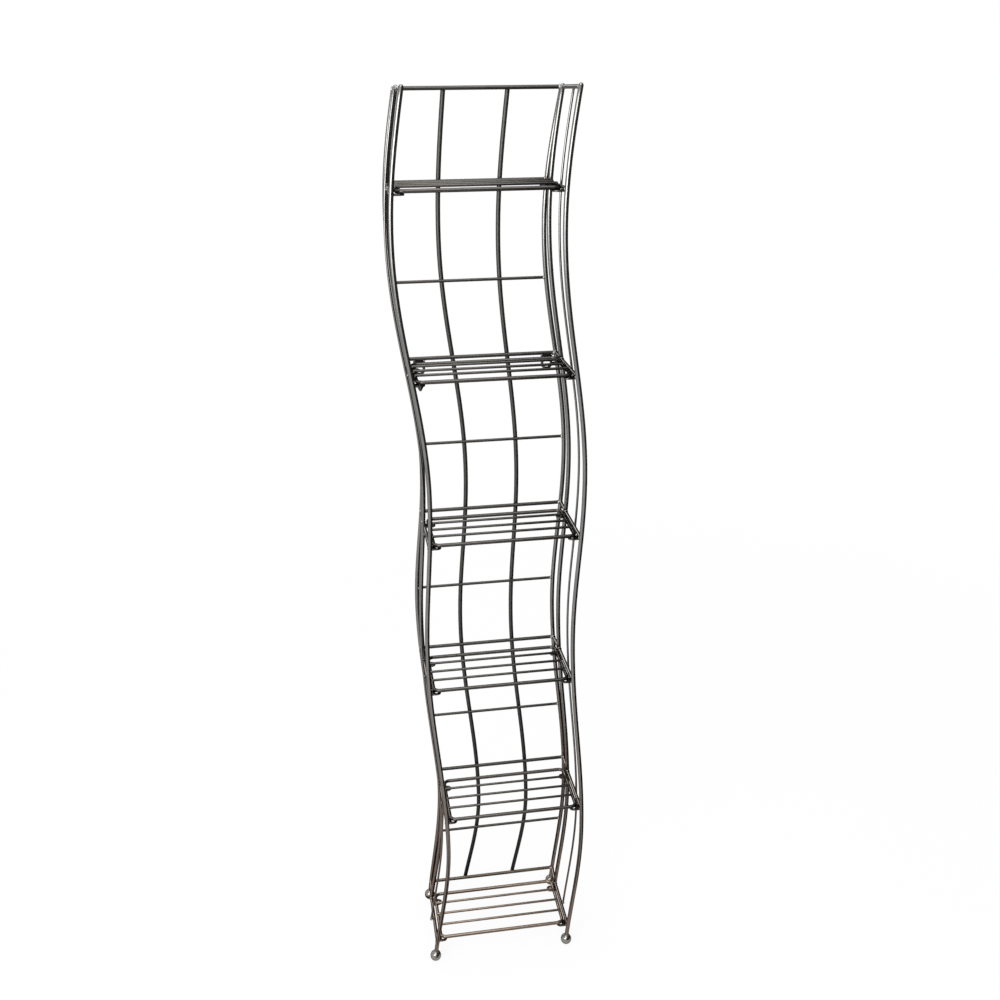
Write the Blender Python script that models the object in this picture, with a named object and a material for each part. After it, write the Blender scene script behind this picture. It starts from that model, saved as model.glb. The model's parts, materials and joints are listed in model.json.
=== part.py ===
"""Media storage tower of bent steel rod.

Two ladder-like side frames and a back panel carry six wire shelves. Their rods are bent by hand to nearly the
same wave.
The front faces -Y, the wave runs along X, and the four ball feet stand on Z = 0.
"""
import math
from itertools import accumulate

import bmesh
import bpy
from mathutils import Matrix, Vector

# Rod diameters, in metres
UPRIGHT_DIAMETER = 0.0060
CROSSBAR_DIAMETER = 0.0050
PANEL_BAR_DIAMETER = 0.0050
THIN_BAR_DIAMETER = 0.0040
CENTRE_WIRE_DIAMETER = 0.0030
SHELF_RAIL_DIAMETER = 0.0050
SHELF_WIRE_DIAMETER = 0.0035

# Side frames and panel: distances between rod centres
FRAME_SPACING = 0.2000
FRAME_DEPTH = 0.0960
CENTRE_WIRE_SETBACK = 0.0520
PANEL_SPACING = 0.1980
PANEL_SETBACK = 0.1300
PANEL_VERTICAL_LEFT = -0.0386
PANEL_VERTICAL_RIGHT = 0.0365

# Heights: the lowest shelf above the floor, then steps from one level to the next
LOWEST_SHELF_HEIGHT = 0.0325
SHELF_SPACINGS = (0.2120, 0.2145, 0.2140, 0.2155, 0.2225)
THIN_BAR_LIFTS = (0.0965, 0.0975, 0.0970, 0.0975, 0.1000)
TOP_BAR_LIFT = 0.1080
UPRIGHT_RISE = 0.0040
PANEL_ROD_RISE = 0.0030
LINKED_SHELF_COUNT = 5

# Shelves and the tabs they sit on
SHELF_SIDE_GAP = 0.0006
SHELF_SETBACK = 0.0080
SHELF_REAR_OVERHANG = 0.0030
SHELF_CORNER_RADIUS = 0.0080
SHELF_WIRE_COUNT = 3
SHELF_WIRE_OVERHANG = 0.0015
WELD_SINK = 0.0010
TAB_WIDTH = 0.0120
TAB_THICKNESS = 0.0020
TAB_PAST_RAIL = 0.0035
TAB_HOLE_DIAMETER = 0.0050
TAB_GAP = 0.0010

# Wall eyelets under one bar of the panel, each set in from its end of the bar
EYELET_BAR = 5
EYELET_LEFT_INSET = 0.012196
EYELET_RIGHT_INSET = 0.008190
EYELET_WIDTH = 0.0158
EYELET_HOLE_DIAMETER = 0.0090
EYELET_THICKNESS = 0.0020
EYELET_DROP = 0.0150

# Ball feet
FOOT_DIAMETER = 0.0160
FOOT_FLAT_DIAMETER = 0.0050
FOOT_SEAT_DIAMETER = 0.0080

CLEARANCE = 0.0003

# Each bent rod swings sideways from one crest to the next: a crest is a height and an offset
LEFT_FRAME_CRESTS = (
    (-0.0600, -0.0060), (0.2025, 0.0232), (0.5125, 0.0043),
    (0.7375, 0.0146), (1.0545, -0.0182), (1.4000, 0.0210),
)
RIGHT_FRAME_CRESTS = (
    (-0.0600, -0.0053), (0.2123, 0.0184), (0.5263, 0.0009),
    (0.7507, 0.0132), (1.0666, -0.0160), (1.4000, 0.0195),
)
LEFT_PANEL_ROD_CRESTS = (
    (-0.0600, -0.0029), (0.2138, 0.0229), (0.5276, 0.0009),
    (0.7375, 0.0152), (1.0708, -0.0179), (1.4000, 0.0223),
)
RIGHT_PANEL_ROD_CRESTS = (
    (-0.0600, -0.0026), (0.2071, 0.0210), (0.5233, -0.0001),
    (0.7504, 0.0147), (1.0515, -0.0147), (1.4000, 0.0306),
)
LEFT_VERTICAL_CRESTS = (
    (-0.0600, -0.0113), (0.1845, 0.0239), (0.4944, 0.0025),
    (0.7247, 0.0155), (1.0468, -0.0123), (1.4000, 0.0108),
)
RIGHT_VERTICAL_CRESTS = (
    (-0.0600, -0.0094), (0.1794, 0.0240), (0.5071, 0.0019),
    (0.7228, 0.0114), (1.0372, -0.0109), (1.4000, 0.0167),
)

# Mesh fineness
RING_STEP = 0.0400
ROD_BEVEL_RESOLUTION = 4
CORNER_STEPS = 4
TAB_ARC_STEPS = 8
HOLE_SIDES = 12
FOOT_SEGMENTS = 20
FOOT_RINGS = 10
SMOOTH_ANGLE = math.radians(40.0)
DOME_ANGLES = (math.radians(40.0), math.radians(75.0))

# Worked out from the sizes above
UPRIGHT_RADIUS = UPRIGHT_DIAMETER / 2
CROSSBAR_RADIUS = CROSSBAR_DIAMETER / 2
PANEL_BAR_RADIUS = PANEL_BAR_DIAMETER / 2
THIN_BAR_RADIUS = THIN_BAR_DIAMETER / 2
CENTRE_WIRE_RADIUS = CENTRE_WIRE_DIAMETER / 2
SHELF_RAIL_RADIUS = SHELF_RAIL_DIAMETER / 2
SHELF_WIRE_RADIUS = SHELF_WIRE_DIAMETER / 2
FOOT_RADIUS = FOOT_DIAMETER / 2
FOOT_CENTRE_HEIGHT = math.sqrt(FOOT_RADIUS**2 - (FOOT_FLAT_DIAMETER / 2) ** 2)
FOOT_SEAT_DISTANCE = math.sqrt(FOOT_RADIUS**2 - (FOOT_SEAT_DIAMETER / 2) ** 2)
PANEL_VERTICAL_SETBACK = PANEL_SETBACK + PANEL_BAR_RADIUS + UPRIGHT_RADIUS + CLEARANCE
FRONTMOST = -FOOT_RADIUS
REARMOST = max(PANEL_SETBACK + FOOT_RADIUS, PANEL_VERTICAL_SETBACK + UPRIGHT_RADIUS)
FRONT_Y = -(FRONTMOST + REARMOST) / 2
REAR_Y = FRONT_Y + FRAME_DEPTH
PANEL_Y = FRONT_Y + PANEL_SETBACK
PANEL_VERTICAL_Y = FRONT_Y + PANEL_VERTICAL_SETBACK
CENTRE_WIRE_X = FRAME_SPACING / 2 + CROSSBAR_RADIUS + CENTRE_WIRE_RADIUS + CLEARANCE
SHELF_DEPTH = FRAME_DEPTH + SHELF_REAR_OVERHANG - SHELF_SETBACK
TAB_FROM_UPRIGHT = UPRIGHT_RADIUS + TAB_GAP + TAB_WIDTH / 2
# A tab's upper face is sunk into the crossbar, and the shelf rail lies just above that face
TAB_TOP = -CROSSBAR_RADIUS + WELD_SINK
CROSSBAR_DROP = TAB_TOP + CLEARANCE + SHELF_RAIL_RADIUS
TAB_REACH = UPRIGHT_RADIUS + SHELF_SIDE_GAP + SHELF_RAIL_RADIUS + TAB_PAST_RAIL
SHELF_WIRE_LIFT = SHELF_RAIL_RADIUS + SHELF_WIRE_RADIUS - WELD_SINK
SHELF_HEIGHTS = tuple(accumulate(SHELF_SPACINGS, initial=LOWEST_SHELF_HEIGHT))
THIN_BAR_HEIGHTS = tuple(shelf + lift for shelf, lift in zip(SHELF_HEIGHTS, THIN_BAR_LIFTS))
TOP_BAR_HEIGHT = SHELF_HEIGHTS[-1] + TOP_BAR_LIFT
SIDES = (
    ("left", -1.0, LEFT_FRAME_CRESTS, LEFT_PANEL_ROD_CRESTS),
    ("right", 1.0, RIGHT_FRAME_CRESTS, RIGHT_PANEL_ROD_CRESTS),
)

COLOURS = {
    "upright": ((0.105, 0.100, 0.094, 1.0), 0.26),
    "bar": ((0.090, 0.086, 0.080, 1.0), 0.32),
    "shelf": ((0.098, 0.093, 0.086, 1.0), 0.34),
    "foot": ((0.150, 0.146, 0.140, 1.0), 0.16),
}


def bend(height, crests):
    """Sideways offset of a bent rod: half a cosine from each crest to the next."""
    for (low, start), (high, end) in zip(crests, crests[1:]):
        if height <= high:
            break
    share = (height - low) / (high - low)
    return start + (end - start) * (1.0 - math.cos(math.pi * share)) / 2


def lean(height, crests):
    """Sideways slope of a bent rod at a height."""
    step = RING_STEP / 100
    return (bend(height + step, crests) - bend(height - step, crests)) / (2 * step)


def frame_x(height, side, crests):
    """Sideways place of a side frame's uprights at a height."""
    return side * FRAME_SPACING / 2 + bend(height, crests)


def panel_rod_x(height, side, crests):
    """Sideways place of a panel's side rod at a height."""
    return side * PANEL_SPACING / 2 + bend(height, crests)


def frames_at(height):
    """Sideways places of the left and the right frame at a height."""
    return [frame_x(height, side, crests) for _, side, crests, _ in SIDES]


def shelf_width(height):
    """Width of a shelf between its side rails: the frames' distance there less the rods and the gaps."""
    left, right = frames_at(height)
    return right - left - UPRIGHT_DIAMETER - SHELF_RAIL_DIAMETER - 2 * SHELF_SIDE_GAP


def clear_scene():
    for item in list(bpy.data.objects):
        bpy.data.objects.remove(item)


def make_material(name):
    colour, roughness = COLOURS[name]
    material = bpy.data.materials.new(name)
    material.use_nodes = True
    shader = material.node_tree.nodes["Principled BSDF"]
    shader.inputs["Base Color"].default_value = colour
    shader.inputs["Metallic"].default_value = 1.0
    shader.inputs["Roughness"].default_value = roughness
    return material


def add_object(name, data, place, parent):
    item = bpy.data.objects.new(name, data)
    item.location = place
    item.parent = parent
    bpy.context.scene.collection.objects.link(item)
    return item


def rod_curve(name, points, diameter, material, radii=None, closed=False):
    """A round rod along a list of points, with flat ends unless it is closed."""
    curve = bpy.data.curves.new(name, "CURVE")
    curve.dimensions = "3D"
    curve.bevel_depth = diameter / 2
    curve.bevel_resolution = ROD_BEVEL_RESOLUTION
    curve.use_fill_caps = not closed
    curve.twist_mode = "MINIMUM"
    spline = curve.splines.new("POLY")
    spline.points.add(len(points) - 1)
    spline.use_cyclic_u = closed
    for i, point in enumerate(points):
        spline.points[i].co = (*point, 1.0)
        spline.points[i].radius = radii[i] if radii else 1.0
    curve.materials.append(material)
    return curve


def rod_mesh(name, points, diameter, material, closed=False):
    """The same rod as a mesh, for pieces that are welded into one."""
    curve = rod_curve(name, points, diameter, material, closed=closed)
    carrier = add_object(name, curve, (0.0, 0.0, 0.0), None)
    mesh = bpy.data.meshes.new_from_object(carrier.evaluated_get(bpy.context.evaluated_depsgraph_get()))
    bpy.data.objects.remove(carrier)
    return mesh


def weld(item, extras, operation="UNION"):
    """Joins each extra mesh to the item, or cuts it out, and leaves one plain mesh."""
    helpers = []
    for extra in extras:
        helper = add_object("helper", extra, item.location, item.parent)
        helpers.append(helper)
        modifier = item.modifiers.new("weld", "BOOLEAN")
        modifier.operation = operation
        modifier.object = helper
    graph = bpy.context.evaluated_depsgraph_get()
    graph.update()
    mesh = bpy.data.meshes.new_from_object(item.evaluated_get(graph))
    item.modifiers.clear()
    item.data = mesh
    for helper in helpers:
        bpy.data.objects.remove(helper)


def smooth(mesh):
    mesh.shade_smooth()
    mesh.set_sharp_from_angle(angle=SMOOTH_ANGLE)


def bent_rod(name, x, y, bottom, top, diameter, crests, material, parent, domed=False):
    """A rod bent to one set of crests, with a domed upper end where it is seen."""
    radius = diameter / 2
    straight_top = top - radius if domed else top
    count = max(1, round((straight_top - bottom) / RING_STEP))
    heights = [bottom + (straight_top - bottom) * i / count for i in range(count + 1)]
    radii = [1.0] * len(heights)
    if domed:
        for angle in DOME_ANGLES:
            heights.append(straight_top + radius * math.sin(angle))
            radii.append(math.cos(angle))
    points = [(bend(height, crests), 0.0, height) for height in heights]
    curve = rod_curve(name, points, diameter, material, radii)
    return add_object(name, curve, (x, y, 0.0), parent)


def foot_seat_height(crests):
    """Height at which a leg's lower end meets its ball foot."""
    slope = lean(FOOT_CENTRE_HEIGHT + FOOT_SEAT_DISTANCE, crests)
    return FOOT_CENTRE_HEIGHT + (FOOT_SEAT_DISTANCE + CLEARANCE) / math.hypot(1.0, slope)


def ball_foot(name, x, y, crests, material, parent):
    """A ball with a flat for the floor and a flat, square to the leg, that the leg stands on."""
    slope = lean(FOOT_CENTRE_HEIGHT + FOOT_SEAT_DISTANCE, crests)
    leg = Vector((slope, 0.0, 1.0)).normalized()
    ball = bmesh.new()
    bmesh.ops.create_uvsphere(ball, u_segments=FOOT_SEGMENTS, v_segments=FOOT_RINGS, radius=FOOT_RADIUS)
    cuts = (
        (Vector((0.0, 0.0, -FOOT_CENTRE_HEIGHT)), Vector((0.0, 0.0, -1.0))),
        (leg * FOOT_SEAT_DISTANCE, leg),
    )
    for point, normal in cuts:
        whole = ball.verts[:] + ball.edges[:] + ball.faces[:]
        bmesh.ops.bisect_plane(ball, geom=whole, plane_co=point, plane_no=normal, clear_outer=True)
        bmesh.ops.holes_fill(ball, edges=[edge for edge in ball.edges if edge.is_boundary])
    mesh = bpy.data.meshes.new(name)
    ball.to_mesh(mesh)
    ball.free()
    mesh.materials.append(material)
    smooth(mesh)
    end = foot_seat_height(crests)
    centre_x = x + bend(end, crests) - slope * (end - FOOT_CENTRE_HEIGHT)
    return add_object(name, mesh, (centre_x, y, FOOT_CENTRE_HEIGHT), parent)


def straight_rod(name, start, end, place, diameter, material, parent):
    curve = rod_curve(name, (start, end), diameter, material)
    return add_object(name, curve, place, parent)


def plate_mesh(name, outline, thickness, material):
    """A flat plate: an outline pushed out by its thickness."""
    plate = bmesh.new()
    face = plate.faces.new([plate.verts.new(point) for point in outline])
    sheet = bmesh.ops.extrude_face_region(plate, geom=[face])
    pushed = [item for item in sheet["geom"] if isinstance(item, bmesh.types.BMVert)]
    bmesh.ops.translate(plate, verts=pushed, vec=thickness)
    bmesh.ops.recalc_face_normals(plate, faces=plate.faces[:])
    mesh = bpy.data.meshes.new(name)
    plate.to_mesh(mesh)
    plate.free()
    mesh.materials.append(material)
    return mesh


def tab_mesh(name, y, side, material):
    """A flat round-ended tab that runs inward from the crossbar's centre line."""
    half = TAB_WIDTH / 2
    outline = [Vector((0.0, y + half, TAB_TOP)), Vector((0.0, y - half, TAB_TOP))]
    for i in range(TAB_ARC_STEPS + 1):
        angle = math.pi * i / TAB_ARC_STEPS
        x = -side * (TAB_REACH + half * math.sin(angle))
        outline.append(Vector((x, y - half * math.cos(angle), TAB_TOP)))
    return plate_mesh(name, outline, Vector((0.0, 0.0, -TAB_THICKNESS)), material)


def eyelet_mesh(name, x, material):
    """A flat round-ended eyelet that hangs from a panel bar's centre line."""
    half = EYELET_WIDTH / 2
    front = -EYELET_THICKNESS / 2
    top = -PANEL_BAR_RADIUS + WELD_SINK
    outline = [Vector((x + half, front, top)), Vector((x - half, front, top))]
    for i in range(TAB_ARC_STEPS + 1):
        angle = math.pi * i / TAB_ARC_STEPS
        z = -EYELET_DROP - half * math.sin(angle)
        outline.append(Vector((x - half * math.cos(angle), front, z)))
    return plate_mesh(name, outline, Vector((0.0, EYELET_THICKNESS, 0.0)), material)


def hole_mesh(name, place, diameter, depth, turn):
    """A cutter for a round hole, along Z before it is turned."""
    drill = bmesh.new()
    bmesh.ops.create_cone(
        drill,
        cap_ends=True,
        segments=HOLE_SIDES,
        radius1=diameter / 2,
        radius2=diameter / 2,
        depth=depth,
        matrix=Matrix.Translation(place) @ turn,
    )
    mesh = bpy.data.meshes.new(name)
    drill.to_mesh(mesh)
    drill.free()
    return mesh


def tab_hole_mesh(name, y, side):
    """A cutter for the hole of a tab."""
    place = (-side * TAB_REACH, y, TAB_TOP - TAB_THICKNESS / 2)
    return hole_mesh(name, place, TAB_HOLE_DIAMETER, TAB_THICKNESS * 2, Matrix.Identity(4))


def eyelet_hole_mesh(name, x):
    """A cutter for the hole of an eyelet."""
    place = (x, 0.0, -EYELET_DROP)
    turn = Matrix.Rotation(math.radians(90.0), 4, "X")
    return hole_mesh(name, place, EYELET_HOLE_DIAMETER, EYELET_THICKNESS * 2, turn)


def crossbar(name, height, side, crests, material, parent, with_tabs):
    """A bar from the front upright back to the rear one, with two shelf tabs welded under it."""
    front = UPRIGHT_RADIUS + CLEARANCE
    rear = FRAME_DEPTH - UPRIGHT_RADIUS - CLEARANCE
    place = (frame_x(height, side, crests), FRONT_Y, height)
    ends = ((0.0, front, 0.0), (0.0, rear, 0.0))
    if not with_tabs:
        return straight_rod(name, *ends, place, CROSSBAR_DIAMETER, material, parent)
    bar = add_object(name, rod_mesh(name, ends, CROSSBAR_DIAMETER, material), place, parent)
    spots = (TAB_FROM_UPRIGHT, FRAME_DEPTH - TAB_FROM_UPRIGHT)
    weld(bar, [tab_mesh(name, y, side, material) for y in spots])
    weld(bar, [tab_hole_mesh(name, y, side) for y in spots], "DIFFERENCE")
    smooth(bar.data)
    return bar


def side_frame(label, side, crests, materials, parent):
    """Front and rear uprights, a thin centre wire, and crossbars between the uprights."""
    x = side * FRAME_SPACING / 2
    top = TOP_BAR_HEIGHT + UPRIGHT_RISE
    lowest = SHELF_HEIGHTS[0] - CROSSBAR_DROP - CROSSBAR_RADIUS
    upright = materials["upright"]
    bar = materials["bar"]
    seat = foot_seat_height(crests)
    for name, y, bottom in (("front", FRONT_Y, seat), ("rear", REAR_Y, lowest)):
        name = f"{label}_{name}_upright"
        bent_rod(name, x, y, bottom, top, UPRIGHT_DIAMETER, crests, upright, parent, domed=True)
    wire_top = TOP_BAR_HEIGHT + CROSSBAR_RADIUS
    bent_rod(
        f"{label}_centre_wire",
        side * CENTRE_WIRE_X,
        FRONT_Y + CENTRE_WIRE_SETBACK,
        lowest,
        wire_top,
        CENTRE_WIRE_DIAMETER,
        crests,
        upright,
        parent,
    )
    crossbar(f"{label}_top_crossbar", TOP_BAR_HEIGHT, side, crests, bar, parent, False)
    for i, height in enumerate(SHELF_HEIGHTS, 1):
        crossbar(f"{label}_crossbar_{i}", height - CROSSBAR_DROP, side, crests, bar, parent, True)
    ball_foot(f"{label}_front_foot", x, FRONT_Y, crests, materials["foot"], parent)


def panel_bar(name, height, diameter, y, material, parent, insets=()):
    """A bar across the panel, butted between its side rods, with eyelets under it where insets are given."""
    ends = []
    for _, side, _, crests in SIDES:
        slope = lean(height, crests)
        gap = UPRIGHT_RADIUS * math.hypot(1.0, slope) + diameter / 2 * abs(slope) + CLEARANCE
        ends.append(panel_rod_x(height, side, crests) - side * gap)
    place = (ends[0], y, height)
    length = ends[1] - ends[0]
    rod_ends = ((0.0, 0.0, 0.0), (length, 0.0, 0.0))
    if not insets:
        return straight_rod(name, *rod_ends, place, diameter, material, parent)
    bar = add_object(name, rod_mesh(name, rod_ends, diameter, material), place, parent)
    spots = (insets[0], length - insets[1])
    weld(bar, [eyelet_mesh(name, x, material) for x in spots])
    weld(bar, [eyelet_hole_mesh(name, x) for x in spots], "DIFFERENCE")
    smooth(bar.data)
    return bar


def back_panel(materials, parent):
    """Side rods with ball feet, two bent verticals, bars in front of them and links to the side frames."""
    upright = materials["upright"]
    bar = materials["bar"]
    top = TOP_BAR_HEIGHT + PANEL_ROD_RISE
    lowest = SHELF_HEIGHTS[0] - PANEL_BAR_RADIUS
    for label, side, _, crests in SIDES:
        x = side * PANEL_SPACING / 2
        rod = f"{label}_panel_rod"
        seat = foot_seat_height(crests)
        bent_rod(rod, x, PANEL_Y, seat, top, UPRIGHT_DIAMETER, crests, upright, parent, domed=True)
        ball_foot(f"{label}_rear_foot", x, PANEL_Y, crests, materials["foot"], parent)
    verticals = (
        ("panel_vertical_left", PANEL_VERTICAL_LEFT, LEFT_VERTICAL_CRESTS),
        ("panel_vertical_right", PANEL_VERTICAL_RIGHT, RIGHT_VERTICAL_CRESTS),
    )
    for name, x, crests in verticals:
        y = PANEL_VERTICAL_Y
        bent_rod(name, x, y, lowest, TOP_BAR_HEIGHT, UPRIGHT_DIAMETER, crests, upright, parent)
    panel_bar("panel_top_bar", TOP_BAR_HEIGHT, PANEL_BAR_DIAMETER, PANEL_Y, bar, parent)
    for i, height in enumerate(SHELF_HEIGHTS, 1):
        insets = (EYELET_LEFT_INSET, EYELET_RIGHT_INSET) if i == EYELET_BAR else ()
        panel_bar(f"panel_bar_{i}", height, PANEL_BAR_DIAMETER, PANEL_Y, bar, parent, insets)
    thin_y = PANEL_VERTICAL_Y - UPRIGHT_RADIUS - THIN_BAR_RADIUS - CLEARANCE
    for i, height in enumerate(THIN_BAR_HEIGHTS, 1):
        panel_bar(f"panel_thin_bar_{i}", height, THIN_BAR_DIAMETER, thin_y, bar, parent)
    link_heights = SHELF_HEIGHTS[:LINKED_SHELF_COUNT] + (TOP_BAR_HEIGHT,)
    for label, side, frame_crests, rod_crests in SIDES:
        for i, height in enumerate(link_heights, 1):
            start = Vector((frame_x(height, side, frame_crests), REAR_Y, height))
            end = Vector((panel_rod_x(height, side, rod_crests), PANEL_Y, height))
            panel_link(f"{label}_panel_link_{i}", start, end, bar, parent)


def panel_link(name, start, end, material, parent):
    """A short rod that ties a rear upright's centre line to that of the panel's side rod behind it."""
    run = end - start
    gap = run.normalized() * (UPRIGHT_RADIUS + CLEARANCE)
    return straight_rod(name, gap, run - gap, start, PANEL_BAR_DIAMETER, material, parent)


def shelf_outline(half):
    """Centre line of a shelf's rim of a given half width: a rectangle with rounded corners."""
    radius = SHELF_CORNER_RADIUS
    corners = (
        (half - radius, SHELF_DEPTH - radius, 0.0),
        (-half + radius, SHELF_DEPTH - radius, 90.0),
        (-half + radius, radius, 180.0),
        (half - radius, radius, 270.0),
    )
    points = []
    for x, y, first in corners:
        for i in range(CORNER_STEPS + 1):
            angle = math.radians(first + 90.0 * i / CORNER_STEPS)
            points.append((x + radius * math.cos(angle), y + radius * math.sin(angle), 0.0))
    return points


def shelf(name, height, material, parent):
    """A welded shelf: a rim of rod with thin wires lying on its side rails."""
    place = (sum(frames_at(height)) / 2, FRONT_Y + SHELF_SETBACK, height)
    half = shelf_width(height) / 2
    rim = rod_mesh(name, shelf_outline(half), SHELF_RAIL_DIAMETER, material, closed=True)
    item = add_object(name, rim, place, parent)
    reach = half + SHELF_WIRE_OVERHANG
    wires = []
    for i in range(1, SHELF_WIRE_COUNT + 1):
        y = SHELF_DEPTH * i / (SHELF_WIRE_COUNT + 1)
        ends = ((-reach, y, SHELF_WIRE_LIFT), (reach, y, SHELF_WIRE_LIFT))
        wires.append(rod_mesh(name, ends, SHELF_WIRE_DIAMETER, material))
    weld(item, wires)
    smooth(item.data)
    return item


def main():
    clear_scene()
    materials = {name: make_material(name) for name in COLOURS}
    tower = add_object("media_tower", None, (0.0, 0.0, 0.0), None)
    for label, side, crests, _ in SIDES:
        side_frame(label, side, crests, materials, tower)
    back_panel(materials, tower)
    for i, height in enumerate(SHELF_HEIGHTS, 1):
        shelf(f"shelf_{i}", height, materials["shelf"], tower)
    bpy.context.view_layer.update()


main()
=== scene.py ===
"""Looks of the media storage tower: bent gunmetal rods, wire shelves, weld beads and ball feet.

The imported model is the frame. Each rod is drawn again as smooth round stock on the same centre line, the
welds that join the rods are added, and every piece gets a plated steel finish. The front faces -Y and the
floor is Z = 0.
"""

from __future__ import annotations

import json
import logging
import math
from dataclasses import dataclass, field
from enum import Enum
from itertools import accumulate

import bpy
from mathutils import Matrix, Vector

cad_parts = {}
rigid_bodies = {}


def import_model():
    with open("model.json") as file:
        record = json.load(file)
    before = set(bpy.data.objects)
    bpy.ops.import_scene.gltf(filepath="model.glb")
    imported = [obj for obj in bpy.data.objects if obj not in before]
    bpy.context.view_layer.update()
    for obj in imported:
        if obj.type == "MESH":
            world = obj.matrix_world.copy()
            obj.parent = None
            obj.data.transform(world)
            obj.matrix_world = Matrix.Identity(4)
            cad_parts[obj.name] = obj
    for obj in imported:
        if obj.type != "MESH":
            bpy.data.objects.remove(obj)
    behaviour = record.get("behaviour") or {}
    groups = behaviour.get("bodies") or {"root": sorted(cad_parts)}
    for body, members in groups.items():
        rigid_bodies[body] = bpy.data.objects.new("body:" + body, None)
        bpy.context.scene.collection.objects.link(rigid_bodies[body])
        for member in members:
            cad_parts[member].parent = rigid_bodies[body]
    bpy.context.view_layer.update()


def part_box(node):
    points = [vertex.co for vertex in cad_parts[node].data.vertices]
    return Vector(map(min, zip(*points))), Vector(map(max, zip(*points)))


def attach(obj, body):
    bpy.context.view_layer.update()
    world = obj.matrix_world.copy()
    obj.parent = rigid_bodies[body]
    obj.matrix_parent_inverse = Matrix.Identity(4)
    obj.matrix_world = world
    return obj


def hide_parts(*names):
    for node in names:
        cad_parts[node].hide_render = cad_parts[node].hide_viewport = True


LOG = logging.getLogger("media_tower")
BODY = "root"

# Overall sizes of the tower, in metres
FRAME_HALF = 0.1000
FRAME_DEPTH = 0.0960
PANEL_HALF = 0.0990
PANEL_SETBACK = 0.1300
CENTRE_WIRE_SETBACK = 0.0520
FRONT_Y = -0.0654
REAR_Y = FRONT_Y + FRAME_DEPTH
PANEL_Y = FRONT_Y + PANEL_SETBACK
CENTRE_WIRE_Y = FRONT_Y + CENTRE_WIRE_SETBACK

# Heights: the lowest shelf above the floor, then steps from one level to the next
LOWEST_SHELF = 0.0325
SHELF_STEPS = (0.2120, 0.2145, 0.2140, 0.2155, 0.2225)
THIN_BAR_LIFTS = (0.0965, 0.0975, 0.0970, 0.0975, 0.1000)
TOP_LIFT = 0.1080
UPRIGHT_RISE = 0.0040
PANEL_ROD_RISE = 0.0030
CROSSBAR_DROP = 0.0013
SHELF_LEVELS = tuple(accumulate(SHELF_STEPS, initial=LOWEST_SHELF))
THIN_BAR_LEVELS = tuple(level + lift for level, lift in zip(SHELF_LEVELS, THIN_BAR_LIFTS))
TOP_LEVEL = SHELF_LEVELS[-1] + TOP_LIFT
# Links tie the panel to the side frames at the top and at every shelf but the highest
LINKED_LEVELS = (*SHELF_LEVELS[:-1], TOP_LEVEL)
# The shelf whose left tabs hold screws, and behind which the wall eyelets hang
FITTED_SHELF = 5

# Rods and the plates welded to them
UPRIGHT_RADIUS = 0.0030
BAR_RADIUS = 0.0025
THIN_BAR_RADIUS = 0.0020
WIRE_RADIUS = 0.0015
CLEARANCE = 0.0003
WELD_SINK = 0.0010
BAR_SINK = 0.0008
TAB_WIDTH = 0.0120
TAB_THICKNESS = 0.0020
TAB_HOLE = 0.0050
TAB_FROM_UPRIGHT = 0.0100

# Weld beads: half sizes, the last one along the bead
WIRE_FOOT_BEAD = Vector((0.0024, 0.0026, 0.0022))
WIRE_BEAD = Vector((0.0009, 0.0010, 0.0017))
TAB_BEAD = Vector((0.0009, 0.0008, 0.0016))
EYELET_BEAD = Vector((0.0010, 0.0009, 0.0016))
BAR_END_BEAD = Vector((0.0024, 0.0024, 0.0020))
SHELF_BEAD = Vector((0.0008, 0.0008, 0.0017))
BEAD_PROUD = 0.0001

# How finely rods are drawn, and limits of the modelling steps
ROD_STEP = 0.010
SLOPE_STEP = 0.001
MERGE_DISTANCE = 1e-5
CUT_PRECISION = 1e-7
FLAT_ANGLE = math.radians(1.0)
# A face whose normal has more Z than this counts as facing up
FACING_UP = 0.9
DOME_ANGLES = (20.0, 40.0, 58.0, 74.0, 86.0)
EASED_END_ANGLES = (80.0, 60.0, 40.0, 20.0, 0.0)
ROD_SMOOTH_ANGLE = math.radians(40.0)
PLATE_SMOOTH_ANGLE = math.radians(35.0)
FOOT_SMOOTH_ANGLE = math.radians(30.0)

# Patterns of the finishes: the range that most of a noise falls in, and how much longer than wide a line is
NOISE_RANGE = (0.25, 0.75)
LINE_RANGE = (0.3, 0.7)
LINE_STRETCH = 14.0
MM_PER_M = 1000.0

# Colours of the studio
WHITE = (1.0, 1.0, 1.0, 1.0)
FLOOR_WHITE = (0.86, 0.86, 0.86, 1.0)
CARD_BLACK = (0.01, 0.01, 0.01, 1.0)

ENDS = (-1.0, 1.0)
RIGHTWARD = Vector((1.0, 0.0, 0.0))
BACKWARD = Vector((0.0, 1.0, 0.0))
UPWARD = Vector((0.0, 0.0, 1.0))

Finishes = dict[str, bpy.types.Material]
Triple = tuple[float, float, float]
Pair = tuple[float, float]


class Axis(Enum):
    """The way a rod was drawn, as how often its fine lines repeat along X, Y and Z."""

    X = (1.0, LINE_STRETCH, LINE_STRETCH)
    Y = (LINE_STRETCH, 1.0, LINE_STRETCH)
    Z = (LINE_STRETCH, LINE_STRETCH, 1.0)
    NONE = (6.0, 6.0, 6.0)


class Slot(Enum):
    """Material slots of the record."""

    UPRIGHT = "upright"
    BAR = "bar"
    SHELF = "shelf"
    FOOT = "foot"


def linear(colour: str) -> tuple[float, float, float, float]:
    """Turns an sRGB hex colour into linear light.

    Args:
        colour: Six hex digits after a hash sign.

    Returns:
        Linear red, green and blue with full alpha.
    """
    shares = [int(colour[i : i + 2], 16) / 255 for i in (1, 3, 5)]
    values = [s / 12.92 if s <= 0.04045 else ((s + 0.055) / 1.055) ** 2.4 for s in shares]
    return (values[0], values[1], values[2], 1.0)


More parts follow.
